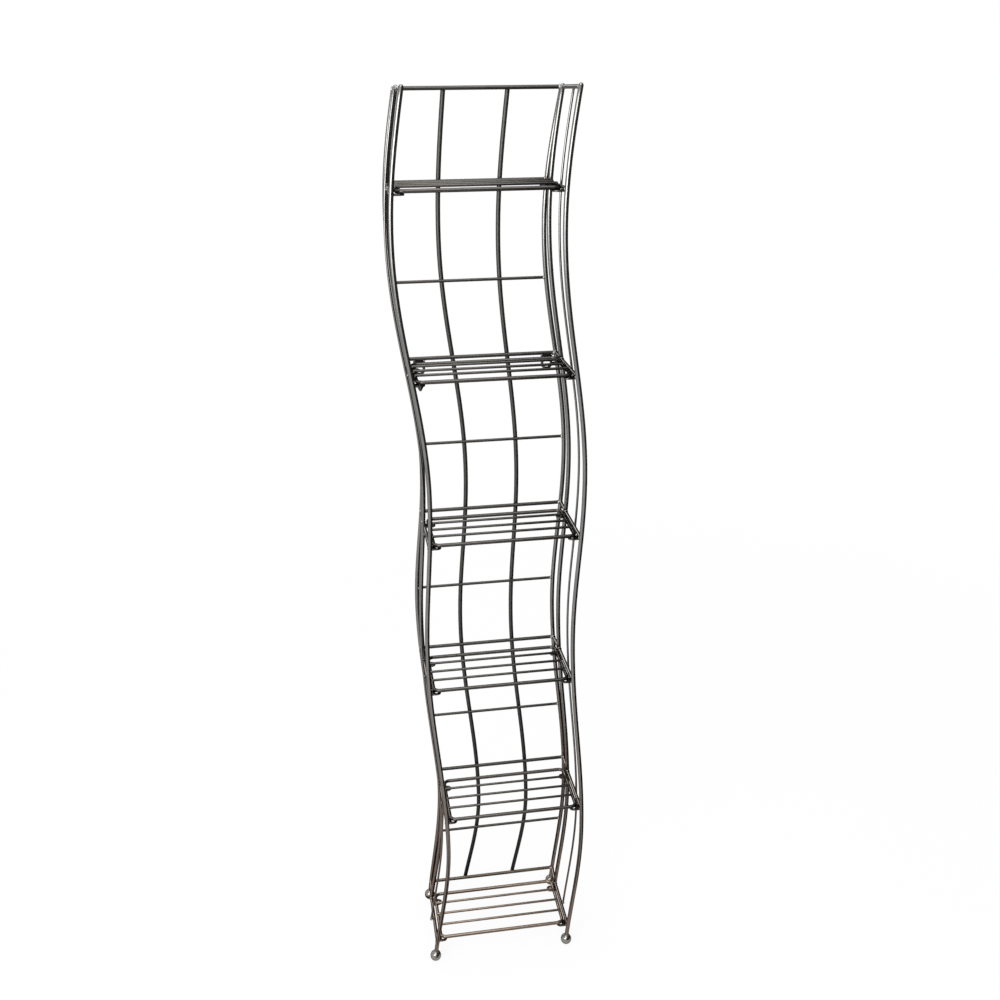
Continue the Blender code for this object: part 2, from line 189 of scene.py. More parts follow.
def add_node(
    tree: bpy.types.NodeTree, kind: str, links: dict | None = None, **settings: object
) -> bpy.types.Node:
    """Adds a node with its settings, input values and input links.

    Args:
        tree: Node tree that takes the node.
        kind: Blender's node type name.
        links: Input name or number to a value, or to an output socket.
        settings: Properties set on the node itself.

    Returns:
        The new node.
    """
    node = tree.nodes.new(kind)
    for key, value in settings.items():
        setattr(node, key, value)
    for key, value in (links or {}).items():
        if isinstance(value, bpy.types.NodeSocket):
            tree.links.new(value, node.inputs[key])
        else:
            node.inputs[key].default_value = value
    return node


def remap(
    tree: bpy.types.NodeTree, value: bpy.types.NodeSocket, source: Pair, target: Pair, **settings: object
) -> bpy.types.NodeSocket:
    """Maps a value from one range to another.

    Args:
        tree: Node tree that takes the node.
        value: Output socket that gives the value.
        source: Range that the value has.
        target: Range that it gets.
        settings: Properties set on the node itself.

    Returns:
        The output socket.
    """
    ranges = {"From Min": source[0], "From Max": source[1], "To Min": target[0], "To Max": target[1]}
    return add_node(tree, "ShaderNodeMapRange", {"Value": value, **ranges}, **settings).outputs["Result"]


@dataclass(frozen=True)
class Gunmetal:
    """Drawn steel rod, plated a dark grey and lacquered.

    The plating mirrors its surroundings dimly, so the rod is dark with a bright stripe where a lamp shows in
    it. Drawing leaves faint lines along the rod and the plating is a little uneven. Towards the floor the
    colour is mixed into a browner low colour, a painted reflection of a brown floor that darkens or lightens
    the rod.
    """

    name: str
    colour: str
    # Low colour and the heights over which it takes over: a painted reflection of a brown floor near the
    # floor
    floor_reflection_colour: str
    roughness: float
    grain: Axis
    edge_tint: str = "#6a6a6a"
    floor_reflection_from: float = 0.62
    floor_reflection_to: float = 0.02
    mottle_mm: float = 9.0
    mottle_share: float = 0.12
    line_mm: float = 1.4
    line_share: float = 0.04
    line_depth: float = 0.06
    line_height: float = 0.00004
    smoother: float = 0.03
    rougher: float = 0.04

    def material(self) -> bpy.types.Material:
        """Builds the finish.

        Returns:
            The material, patterned on Object coordinates.
        """
        material = bpy.data.materials.new(self.name)
        material.use_nodes = True
        tree = material.node_tree
        shader = tree.nodes["Principled BSDF"]
        place = add_node(tree, "ShaderNodeTexCoord").outputs["Object"]
        height = add_node(tree, "ShaderNodeSeparateXYZ", {0: place}).outputs["Z"]
        # Painted reflection: near the floor the base colour is mixed towards the low colour, as a brown
        # floor would show in the plating
        heights = (self.floor_reflection_from, self.floor_reflection_to)
        floor_reflection_share = remap(tree, height, heights, (0.0, 1.0), interpolation_type="SMOOTHSTEP")
        base = add_node(
            tree,
            "ShaderNodeMix",
            {0: floor_reflection_share, 6: linear(self.colour), 7: linear(self.floor_reflection_colour)},
            data_type="RGBA",
        ).outputs[2]
        mottle = add_node(
            tree,
            "ShaderNodeTexNoise",
            {"Vector": place, "Scale": MM_PER_M / self.mottle_mm, "Detail": 4.0, "Roughness": 0.6},
        ).outputs["Fac"]
        # Real drawing lines are finer than a pixel, so they are drawn coarse enough to show
        fineness = MM_PER_M / self.line_mm / LINE_STRETCH
        turned = add_node(
            tree, "ShaderNodeMapping", {"Vector": place, "Scale": Vector(self.grain.value) * fineness}
        ).outputs["Vector"]
        lines = add_node(
            tree, "ShaderNodeTexNoise", {"Vector": turned, "Scale": 1.0, "Detail": 3.0, "Roughness": 0.55}
        ).outputs["Fac"]
        shade = remap(tree, mottle, NOISE_RANGE, (1.0 - self.mottle_share, 1.0 + self.mottle_share))
        streak = remap(tree, lines, LINE_RANGE, (1.0 - self.line_share, 1.0 + self.line_share))
        both = add_node(tree, "ShaderNodeMath", {0: shade, 1: streak}, operation="MULTIPLY").outputs[0]
        tone = add_node(tree, "ShaderNodeVectorMath", {0: base, "Scale": both}, operation="SCALE").outputs[0]
        tree.links.new(tone, shader.inputs["Base Color"])
        spread = (self.roughness - self.smoother, self.roughness + self.rougher)
        rough = remap(tree, lines, NOISE_RANGE, spread)
        tree.links.new(rough, shader.inputs["Roughness"])
        bump = add_node(
            tree,
            "ShaderNodeBump",
            {"Strength": self.line_depth, "Distance": self.line_height, "Height": lines},
        ).outputs["Normal"]
        tree.links.new(bump, shader.inputs["Normal"])
        shader.inputs["Metallic"].default_value = 1.0
        shader.inputs["Specular Tint"].default_value = linear(self.edge_tint)
        return material


# The second colour of each finish is its painted floor reflection, which takes over near the floor
UPRIGHT_FINISH = Gunmetal("plated_upright_rod", "#82817f", "#70645c", 0.18, Axis.Z)
PANEL_VERTICAL_FINISH = Gunmetal(
    "plated_panel_vertical", "#52514e", "#403d3a", 0.46, Axis.Z, floor_reflection_from=0.45
)
PANEL_BAR_FINISH = Gunmetal("plated_panel_bar", "#4d4b49", "#645a50", 0.30, Axis.X, floor_reflection_from=0.15)
CROSSBAR_FINISH = Gunmetal("plated_crossbar", "#6d6b68", "#6a6058", 0.20, Axis.Y, edge_tint="#a0a0a0")
PLATE_FINISH = Gunmetal("plated_flat_piece", "#5c5a57", "#5c534c", 0.20, Axis.NONE, mottle_mm=4.0)
SHELF_FINISH = Gunmetal("plated_shelf_rod", "#52504d", "#83756a", 0.28, Axis.X, floor_reflection_from=0.30)
WELD_FINISH = Gunmetal("plated_weld_bead", "#a3a19c", "#9a9188", 0.13, Axis.NONE, mottle_mm=2.0)
FOOT_FINISH = Gunmetal("plated_ball_foot", "#92918d", "#8b8884", 0.09, Axis.NONE, mottle_mm=5.0)
ALL_FINISHES = (
    UPRIGHT_FINISH,
    PANEL_VERTICAL_FINISH,
    PANEL_BAR_FINISH,
    CROSSBAR_FINISH,
    PLATE_FINISH,
    SHELF_FINISH,
    WELD_FINISH,
    FOOT_FINISH,
)


@dataclass(frozen=True)
class Bend:
    """Sideways wave of a rod: half a cosine from each crest (a height and an offset) to the next."""

    crests: tuple[tuple[float, float], ...]

    def at(self, height: float) -> float:
        """Sideways offset at a height.

        Args:
            height: Distance above the floor.

        Returns:
            Offset along X.
        """
        for (low, start), (high, end) in zip(self.crests, self.crests[1:]):
            if height <= high:
                break
        share = (height - low) / (high - low)
        return start + (end - start) * (1.0 - math.cos(math.pi * share)) / 2

    def slope(self, height: float) -> float:
        """Sideways slope at a height."""
        return (self.at(height + SLOPE_STEP / 2) - self.at(height - SLOPE_STEP / 2)) / SLOPE_STEP


LEFT_FRAME_BEND = Bend(
    (
        (-0.0600, -0.0060), (0.2025, 0.0232), (0.5125, 0.0043),
        (0.7375, 0.0146), (1.0545, -0.0182), (1.4000, 0.0210),
    )
)
RIGHT_FRAME_BEND = Bend(
    (
        (-0.0600, -0.0053), (0.2123, 0.0184), (0.5263, 0.0009),
        (0.7507, 0.0132), (1.0666, -0.0160), (1.4000, 0.0195),
    )
)
LEFT_PANEL_ROD_BEND = Bend(
    (
        (-0.0600, -0.0029), (0.2138, 0.0229), (0.5276, 0.0009),
        (0.7375, 0.0152), (1.0708, -0.0179), (1.4000, 0.0223),
    )
)
RIGHT_PANEL_ROD_BEND = Bend(
    (
        (-0.0600, -0.0026), (0.2071, 0.0210), (0.5233, -0.0001),
        (0.7504, 0.0147), (1.0515, -0.0147), (1.4000, 0.0306),
    )
)
LEFT_VERTICAL_BEND = Bend(
    (
        (-0.0600, -0.0113), (0.1845, 0.0239), (0.4944, 0.0025),
        (0.7247, 0.0155), (1.0468, -0.0123), (1.4000, 0.0108),
    )
)
RIGHT_VERTICAL_BEND = Bend(
    (
        (-0.0600, -0.0094), (0.1794, 0.0240), (0.5071, 0.0019),
        (0.7228, 0.0114), (1.0372, -0.0109), (1.4000, 0.0167),
    )
)


@dataclass(frozen=True)
class Side:
    """One side of the tower: its frame's bend and the bend of the panel's rod behind it."""

    label: str
    sign: float
    frame_bend: Bend
    rod_bend: Bend

    def frame_x(self, height: float) -> float:
        """Sideways place of the frame's uprights at a height."""
        return self.sign * FRAME_HALF + self.frame_bend.at(height)

    def rod_x(self, height: float) -> float:
        """Sideways place of the panel's side rod at a height."""
        return self.sign * PANEL_HALF + self.rod_bend.at(height)


SIDES = (
    Side("left", -1.0, LEFT_FRAME_BEND, LEFT_PANEL_ROD_BEND),
    Side("right", 1.0, RIGHT_FRAME_BEND, RIGHT_PANEL_ROD_BEND),
)


@dataclass(frozen=True)
class Station:
    """A point on a rod's centre line and the share of its full thickness there."""

    point: Vector
    share: float = 1.0


def deselect() -> None:
    """Leaves nothing selected."""
    bpy.ops.object.select_all(action="DESELECT")


def draw_rod(
    name: str, path: list[Station], radius: float, closed: bool = False, roundness: int = 8
) -> bpy.types.Object:
    """Draws round rod along a path and turns it into a mesh.

    Args:
        name: Name of the piece.
        path: Stations along the centre line.
        radius: Full radius of the rod.
        closed: Whether the path runs back to its start.
        roundness: Bevel resolution of the round section.

    Returns:
        The rod, with its place in its mesh.
    """
    deselect()
    bpy.ops.curve.primitive_nurbs_path_add(location=(0.0, 0.0, 0.0))
    rod = bpy.context.object
    curve = rod.data
    curve.splines.clear()
    spline = curve.splines.new("POLY")
    spline.points.add(len(path) - 1)
    for knot, station in zip(spline.points, path):
        knot.co = (*station.point, 1.0)
        knot.radius = station.share
    spline.use_cyclic_u = closed
    curve.bevel_depth = radius
    curve.bevel_resolution = roundness
    curve.use_fill_caps = not closed
    bpy.ops.object.convert(target="MESH")
    rod = bpy.context.object
    rod.name = name
    bpy.ops.object.shade_smooth_by_angle(angle=ROD_SMOOTH_ANGLE)
    return rod


def straight(start: Vector, end: Vector, radius: float, rounding: float = 0.0) -> list[Station]:
    """A straight path, with its ends eased over a short length where they show.

    Args:
        start: First end.
        end: Last end.
        radius: Radius of the rod.
        rounding: Share of the radius by which the ends are rounded.

    Returns:
        The path's stations.
    """
    if not rounding:
        return [Station(start), Station(end)]
    along = (end - start).normalized()
    ease = radius * rounding
    eased = []
    for angle in map(math.radians, EASED_END_ANGLES):
        eased.append((1.0 - math.sin(angle), 1.0 - rounding * (1.0 - math.cos(angle))))
    nose = [Station(start + along * ease * inset, share) for inset, share in eased]
    tail = [Station(end - along * ease * inset, share) for inset, share in eased]
    return nose + tail[::-1]


def wave_path(
    x: float, y: float, bottom: float, top: float, radius: float, bend: Bend, domed: bool = False
) -> list[Station]:
    """The path of a bent rod that stands upright.

    Args:
        x: Centre of the rod's wave.
        y: Depth of the rod.
        bottom: Height of its lower end.
        top: Height of its upper end.
        radius: Radius of the rod.
        bend: Its sideways wave.
        domed: Whether the upper end is rounded over.

    Returns:
        The path's stations.
    """
    shoulder = top - radius if domed else top
    count = round((shoulder - bottom) / ROD_STEP)
    heights = [(bottom + (shoulder - bottom) * i / count, 1.0) for i in range(count + 1)]
    if domed:
        for angle in map(math.radians, DOME_ANGLES):
            heights.append((shoulder + radius * math.sin(angle), math.cos(angle)))
    return [Station(Vector((x + bend.at(z), y, z)), share) for z, share in heights]


def fit(piece: bpy.types.Object, finish: bpy.types.Material, slot: Slot, *nodes: str) -> None:
    """Gives a piece its finish and ties it to the frame.

    Args:
        piece: The finished piece.
        finish: Its material.
        slot: The record's slot for the piece's finish; not used.
        nodes: CAD nodes that it stands for.
    """
    piece.data.materials.clear()
    piece.data.materials.append(finish)
    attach(piece, BODY)
    if nodes:
        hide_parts(*nodes)
    LOG.info("%s: %d faces", piece.name, len(piece.data.polygons))


def join(name: str, pieces: list[bpy.types.Object]) -> bpy.types.Object:
    """Joins pieces into one.

    Args:
        name: Name of the joined piece.
        pieces: What is joined.

    Returns:
        The joined piece.
    """
    deselect()
    for piece in pieces:
        piece.select_set(True)
    bpy.context.view_layer.objects.active = pieces[0]
    if len(pieces) > 1:
        bpy.ops.object.join()
    pieces[0].name = name
    return pieces[0]


def place_copy(name: str, pattern: bpy.types.Object, place: Matrix) -> bpy.types.Object:
    """Copies a pattern, with its place in its mesh.

    Args:
        name: Name of the copy.
        pattern: What is copied.
        place: Where the copy goes, how it is turned and its scale.

    Returns:
        The copy.
    """
    mesh = pattern.data.copy()
    mesh.transform(place)
    copy = bpy.data.objects.new(name, mesh)
    bpy.context.scene.collection.objects.link(copy)
    return copy


def ease_edges(piece: bpy.types.Object, width: float, segments: int, least_angle: float) -> None:
    """Rounds the sharp edges of the active piece.

    Args:
        piece: The active piece.
        width: Width of the rounding.
        segments: Number of faces across it.
        least_angle: Angle in degrees from which an edge counts as sharp.
    """
    ease = piece.modifiers.new("eased_edges", "BEVEL")
    ease.width = width
    ease.segments = segments
    ease.limit_method = "ANGLE"
    ease.angle_limit = math.radians(least_angle)
    bpy.ops.object.modifier_apply(modifier=ease.name)


@dataclass
class WeldShop:
    """Models a weld ring and a weld spot once, and lays copies of them along the joints."""

    ring: bpy.types.Object | None = None
    spot: bpy.types.Object | None = None
    laid: list[bpy.types.Object] = field(default_factory=list)
    ring_height: float = 1.1
    ring_turn: float = 1.7
    spot_turn: float = 2.3

    def model(self) -> None:
        """Models a ring of unit bar radius about Z and a spot of unit size."""
        deselect()
        bpy.ops.mesh.primitive_torus_add(
            major_segments=18,
            minor_segments=8,
            major_radius=1.08,
            minor_radius=0.34,
            location=(0.0, 0.0, 0.0),
        )
        self.ring = bpy.context.object
        self.ring.name = "weld_ring_pattern"
        self.roughen(amount=0.16, seed=7)
        deselect()
        bpy.ops.mesh.primitive_ico_sphere_add(subdivisions=3, radius=1.0, location=(0.0, 0.0, 0.0))
        self.spot = bpy.context.object
        self.spot.name = "weld_spot_pattern"
        self.roughen(amount=0.10, seed=11)

    def roughen(self, amount: float, seed: int) -> None:
        """Makes the active piece uneven, as a cooled bead is, and smooths it.

        Args:
            amount: How far points stray.
            seed: Seed of the stray.
        """
        bpy.ops.object.mode_set(mode="EDIT")
        bpy.ops.mesh.select_all(action="SELECT")
        bpy.ops.transform.vertex_random(offset=amount, seed=seed)
        bpy.ops.mesh.vertices_smooth(factor=0.5, repeat=2)
        bpy.ops.object.mode_set(mode="OBJECT")
        bpy.ops.object.shade_smooth()

    def lay(
        self, pattern: bpy.types.Object, place: Vector, along: Vector, size: Vector, turn: float
    ) -> None:
        """Lays a copy of a pattern on a joint.

        Args:
            pattern: The ring or the spot.
            place: Centre of the joint.
            along: Direction that the pattern's Z axis takes.
            size: Scale along the pattern's own axes.
            turn: Turn about its Z axis, so that copies differ.
        """
        aim = along.to_track_quat("Z", "Y").to_matrix().to_4x4()
        sized = Matrix.Translation(place) @ aim @ Matrix.Diagonal((*size, 1.0))
        self.laid.append(place_copy("weld", pattern, sized @ Matrix.Rotation(turn, 4, "Z")))

    def ring_at(self, place: Vector, along: Vector, radius: float) -> None:
        """Lays a ring round a bar's end."""
        size = Vector((radius, radius, radius * self.ring_height))
        self.lay(self.ring, place, along, size, self.ring_turn * len(self.laid))

    def spot_at(self, place: Vector, along: Vector, size: Vector) -> None:
        """Lays a spot where two rods cross."""
        self.lay(self.spot, place, along, size, self.spot_turn * len(self.laid))

    def gather(self, name: str, finish: bpy.types.Material, slot: Slot) -> None:
        """Joins what was laid since the last call into one piece."""
        fit(join(name, self.laid), finish, slot)
        self.laid = []

    def clear(self) -> None:
        """Removes the patterns."""
        for pattern in (self.ring, self.spot):
            bpy.data.objects.remove(pattern)


@dataclass
class PunchedPlate:
    """A flat round-ended plate with a hole, modelled once and copied to each of its places."""

    width: float
    thickness: float
    hole: float
    reach: float
    pattern: bpy.types.Object | None = None

    def model(self) -> None:
        """Models the plate flat under Z = 0, from the origin along X to its hole."""
        deselect()
        middle = Vector((self.reach, 0.0, -self.thickness / 2))
        bpy.ops.mesh.primitive_cylinder_add(
            vertices=32, radius=self.width / 2, depth=self.thickness, location=middle
        )
        plate = bpy.context.object
        plate.name = "punched_plate_pattern"
        bpy.ops.object.transform_apply(location=True, rotation=True, scale=True)
        for vertex in plate.data.vertices:
            if vertex.co.x < self.reach - MERGE_DISTANCE:
                vertex.co.x = 0.0
        bpy.ops.object.mode_set(mode="EDIT")
        bpy.ops.mesh.select_all(action="SELECT")
        bpy.ops.mesh.remove_doubles(threshold=MERGE_DISTANCE)
        bpy.ops.mesh.dissolve_limited(angle_limit=FLAT_ANGLE)
        bpy.ops.object.mode_set(mode="OBJECT")
        bpy.ops.mesh.primitive_cylinder_add(
            vertices=24, radius=self.hole / 2, depth=self.thickness * 3, location=middle
        )
        drill = bpy.context.object
        bpy.context.view_layer.objects.active = plate
        cut = plate.modifiers.new("hole", "BOOLEAN")
        cut.operation = "DIFFERENCE"
        cut.object = drill
        bpy.ops.object.modifier_apply(modifier=cut.name)
        bpy.data.objects.remove(drill)
        ease_edges(plate, width=0.0004, segments=2, least_angle=50.0)
        plate.select_set(True)
        bpy.ops.object.shade_smooth_by_angle(angle=PLATE_SMOOTH_ANGLE)
        self.pattern = plate

    def copy_to(self, place: Matrix) -> bpy.types.Object:
        """Copies the plate, with its place in its mesh.

        Args:
            place: Where the plate's root goes and how it is turned.

        Returns:
            The copy.
        """
        return place_copy("punched_plate", self.pattern, place)

    def clear(self) -> None:
        """Removes the pattern."""
        bpy.data.objects.remove(self.pattern)


def shelf_tab() -> PunchedPlate:
    """Models the tab that shelf corners rest on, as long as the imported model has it.

    Returns:
        The tab.
    """
    low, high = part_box("left_crossbar_1")
    reach = high.x - low.x - BAR_RADIUS - TAB_WIDTH / 2
    tab = PunchedPlate(TAB_WIDTH, TAB_THICKNESS, TAB_HOLE, reach)
    tab.model()
    return tab


@dataclass
class SideFrame:
    """A front and a rear upright and a thin centre wire, tied by crossbars that carry the shelf tabs."""

    side: Side
    tab: PunchedPlate
    tab_bead_inset: float = 0.0022
    tab_bead_spread: float = 0.0052
    tab_bead_lift: float = 0.0012
    wire_bead_spread: float = 0.0011
    wire_foot_lift: float = 0.0005

    def build(self, finishes: Finishes, welds: WeldShop) -> None:
        """Builds and dresses the frame.

        Args:
            finishes: Materials by finish name.
            welds: Shop that lays the weld beads.
        """
        upright = finishes[UPRIGHT_FINISH.name]
        label = self.side.label
        bend = self.side.frame_bend
        x = self.side.sign * FRAME_HALF
        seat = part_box(f"{label}_front_upright")[0].z
        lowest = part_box(f"{label}_rear_upright")[0].z
        top = TOP_LEVEL + UPRIGHT_RISE
        for place, y, bottom in (("front", FRONT_Y, seat), ("rear", REAR_Y, lowest)):
            node = f"{label}_{place}_upright"
            path = wave_path(x, y, bottom, top, UPRIGHT_RADIUS, bend, domed=True)
            fit(draw_rod(f"{node}_rod", path, UPRIGHT_RADIUS), upright, Slot.UPRIGHT, node)
        node = f"{label}_centre_wire"
        wire_x = self.side.sign * (FRAME_HALF + BAR_RADIUS + WIRE_RADIUS)
        wire_top = TOP_LEVEL + BAR_RADIUS
        path = wave_path(wire_x, CENTRE_WIRE_Y, lowest, wire_top, WIRE_RADIUS, bend, domed=True)
        fit(draw_rod(f"{node}_rod", path, WIRE_RADIUS), upright, Slot.UPRIGHT, node)
        foot = Vector((wire_x + bend.at(lowest), CENTRE_WIRE_Y, lowest + self.wire_foot_lift))
        welds.spot_at(foot, UPWARD, WIRE_FOOT_BEAD)
        self.crossbar("top_crossbar", TOP_LEVEL, finishes, welds, tabs=False)
        for i, level in enumerate(SHELF_LEVELS, 1):
            self.crossbar(f"crossbar_{i}", level - CROSSBAR_DROP, finishes, welds, tabs=True)
        welds.gather(f"{label}_frame_welds", finishes[WELD_FINISH.name], Slot.UPRIGHT)

    def crossbar(
        self, name: str, level: float, finishes: Finishes, welds: WeldShop, tabs: bool
    ) -> None:
        """Builds a crossbar between the uprights, with its tabs and welds.

        Args:
            name: Node name after the frame's label.
            level: Height of the bar's centre.
            finishes: Materials by finish name.
            welds: Shop that lays the weld beads.
            tabs: Whether two shelf tabs are welded under it.
        """
        node = f"{self.side.label}_{name}"
        sign = self.side.sign
        x = self.side.frame_x(level)
        front = Vector((x, FRONT_Y + UPRIGHT_RADIUS - WELD_SINK, level))
        rear = Vector((x, REAR_Y - UPRIGHT_RADIUS + WELD_SINK, level))
        rod = draw_rod(f"{node}_rod", straight(front, rear, BAR_RADIUS), BAR_RADIUS)
        fit(rod, finishes[CROSSBAR_FINISH.name], Slot.BAR, node)
        if tabs:
            plates = []
            turn = Matrix.Rotation(math.pi if sign > 0 else 0.0, 4, "Z")
            bead_x = x - sign * self.tab_bead_inset
            bead_z = level - BAR_RADIUS + self.tab_bead_lift
            for y in (FRONT_Y + TAB_FROM_UPRIGHT, REAR_Y - TAB_FROM_UPRIGHT):
                root = Vector((x, y, level - BAR_RADIUS + WELD_SINK))
                plates.append(self.tab.copy_to(Matrix.Translation(root) @ turn))
                for end in ENDS:
                    bead = Vector((bead_x, y + end * self.tab_bead_spread, bead_z))
                    welds.spot_at(bead, BACKWARD, TAB_BEAD)
            fit(join(f"{node}_tabs", plates), finishes[PLATE_FINISH.name], Slot.BAR)
        welds.ring_at(Vector((x, FRONT_Y + UPRIGHT_RADIUS, level)), BACKWARD, BAR_RADIUS)
        welds.ring_at(Vector((x, REAR_Y - UPRIGHT_RADIUS, level)), BACKWARD, BAR_RADIUS)
        touch = Vector((x + sign * (BAR_RADIUS + BEAD_PROUD), CENTRE_WIRE_Y, level))
        for end in ENDS:
            bead = touch + Vector((0.0, end * self.wire_bead_spread, 0.0))
            welds.spot_at(bead, UPWARD, WIRE_BEAD)


@dataclass
class BackPanel:
    """Side rods, two bent verticals, bars in front of them, and links to the side frames."""

    left_vertical: float = -0.0386
    right_vertical: float = 0.0365
    eyelets: Pair = (-0.0820, 0.0890)
    eyelet_width: float = 0.0158
    eyelet_thickness: float = 0.0020
    eyelet_hole: float = 0.0090
    eyelet_drop: float = 0.0150
    eyelet_bead_spread: float = 0.0068
    eyelet_bead_front: float = 0.0012
    end_bead_front: float = 0.7
    cross_bead_half_width: float = 0.0013
    cross_bead_half_depth: float = 0.0009
    cross_bead_height_share: float = 0.7
    cross_bead_spread: float = 0.0014

    def build(self, finishes: Finishes, welds: WeldShop) -> None:
        """Builds and dresses the panel.

        Args:
            finishes: Materials by finish name.
            welds: Shop that lays the weld beads.
        """
        for side in SIDES:
            node = f"{side.label}_panel_rod"
            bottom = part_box(node)[0].z
            top = TOP_LEVEL + PANEL_ROD_RISE
            x = side.sign * PANEL_HALF
            path = wave_path(x, PANEL_Y, bottom, top, UPRIGHT_RADIUS, side.rod_bend, domed=True)
            rod = draw_rod(f"{node}_rod", path, UPRIGHT_RADIUS)
            fit(rod, finishes[UPRIGHT_FINISH.name], Slot.UPRIGHT, node)
            self.links(side, finishes, welds)
        back_y = PANEL_Y + BAR_RADIUS + UPRIGHT_RADIUS + CLEARANCE
        verticals = (
            ("left", self.left_vertical, LEFT_VERTICAL_BEND),
            ("right", self.right_vertical, RIGHT_VERTICAL_BEND),
        )
        for label, x, bend in verticals:
            node = f"panel_vertical_{label}"
            path = wave_path(x, back_y, SHELF_LEVELS[0] - BAR_RADIUS, TOP_LEVEL, UPRIGHT_RADIUS, bend)
            rod = draw_rod(f"{node}_rod", path, UPRIGHT_RADIUS)
            fit(rod, finishes[PANEL_VERTICAL_FINISH.name], Slot.UPRIGHT, node)
        bars = [("panel_top_bar", TOP_LEVEL, BAR_RADIUS)]
        for i, level in enumerate(SHELF_LEVELS, 1):
            bars.append((f"panel_bar_{i}", level, BAR_RADIUS))
        for i, level in enumerate(THIN_BAR_LEVELS, 1):
            bars.append((f"panel_thin_bar_{i}", level, THIN_BAR_RADIUS))
        for node, level, radius in bars:
            y = back_y - UPRIGHT_RADIUS - CLEARANCE - radius
            self.bar(node, level, radius, y, finishes, welds)
            for _, x, bend in verticals:
                touch = Vector((x + bend.at(level), y + radius + BEAD_PROUD, level))
                self.cross_weld(touch, radius, welds)
        self.hang_eyelets(SHELF_LEVELS[FITTED_SHELF - 1], finishes, welds)
        welds.gather("panel_welds", finishes[WELD_FINISH.name], Slot.BAR)

    def hang_eyelets(self, level: float, finishes: Finishes, welds: WeldShop) -> None:
        """Hangs the two wall eyelets from a bar.

        Args:
            level: Height of the bar.
            finishes: Materials by finish name.
            welds: Shop that lays the weld beads.
        """
        eyelet = PunchedPlate(
            self.eyelet_width, self.eyelet_thickness, self.eyelet_hole, self.eyelet_drop
        )
        eyelet.model()
        hung = Matrix.Rotation(math.radians(90.0), 4, "Y") @ Matrix.Rotation(math.radians(90.0), 4, "X")
        plates = []
        for x in self.eyelets:
            root = Vector((x, PANEL_Y + eyelet.thickness / 2, level))
            plates.append(eyelet.copy_to(Matrix.Translation(root) @ hung))
            for end in ENDS:
                bead_x = x + end * self.eyelet_bead_spread
                bead = Vector((bead_x, PANEL_Y - self.eyelet_bead_front, level - BAR_RADIUS))
                welds.spot_at(bead, RIGHTWARD, EYELET_BEAD)
        fit(join(f"panel_bar_{FITTED_SHELF}_eyelets", plates), finishes[PLATE_FINISH.name], Slot.BAR)
        eyelet.clear()

    def bar(
        self,
        node: str,
        level: float,
        radius: float,
        y: float,
        finishes: Finishes,
        welds: WeldShop,
    ) -> None:
        """Builds a bar across the panel and the welds at its ends.

        Args:
            node: CAD node that the bar stands for.
            level: Height of the bar.
            radius: Radius of the bar.
            y: Depth of the bar.
            finishes: Materials by finish name.
            welds: Shop that lays the weld beads.
        """
        seats = [Vector((side.rod_x(level) - side.sign * UPRIGHT_RADIUS, y, level)) for side in SIDES]
        sunk = RIGHTWARD * BAR_SINK
        rod = draw_rod(f"{node}_rod", straight(seats[0] - sunk, seats[1] + sunk, radius), radius)
        fit(rod, finishes[PANEL_BAR_FINISH.name], Slot.BAR, node)
        for seat in seats:
            welds.ring_at(seat, RIGHTWARD, radius)
            bead = seat - Vector((0.0, radius * self.end_bead_front, 0.0))
            welds.spot_at(bead, RIGHTWARD, BAR_END_BEAD)

    def cross_weld(self, touch: Vector, radius: float, welds: WeldShop) -> None:
        """Lays two spots in the corners where a vertical crosses a bar.

        Args:
            touch: Point where the two rods touch.
            radius: Radius of the bar.
            welds: Shop that lays the weld beads.
        """
        half_height = radius * self.cross_bead_height_share
        size = Vector((self.cross_bead_half_width, self.cross_bead_half_depth, half_height))
        for end in ENDS:
            bead = touch + Vector((end * self.cross_bead_spread, 0.0, 0.0))
            welds.spot_at(bead, UPWARD, size)

    def links(self, side: Side, finishes: Finishes, welds: WeldShop) -> None:
        """Builds the short rods between a rear upright and the panel's side rod.

        Args:
            side: Side of the tower.
            finishes: Materials by finish name.
            welds: Shop that lays the weld beads.
        """
        for i, level in enumerate(LINKED_LEVELS, 1):
            node = f"{side.label}_panel_link_{i}"
            front = Vector((side.frame_x(level), REAR_Y, level))
            rear = Vector((side.rod_x(level), PANEL_Y, level))
            along = (rear - front).normalized()
            skin = along * UPRIGHT_RADIUS
            sunk = along * (UPRIGHT_RADIUS - BAR_SINK)
            rod = draw_rod(f"{node}_rod", straight(front + sunk, rear - sunk, BAR_RADIUS), BAR_RADIUS)
            fit(rod, finishes[CROSSBAR_FINISH.name], Slot.BAR, node)
            for seat in (front + skin, rear - skin):
                welds.ring_at(seat, along, BAR_RADIUS)


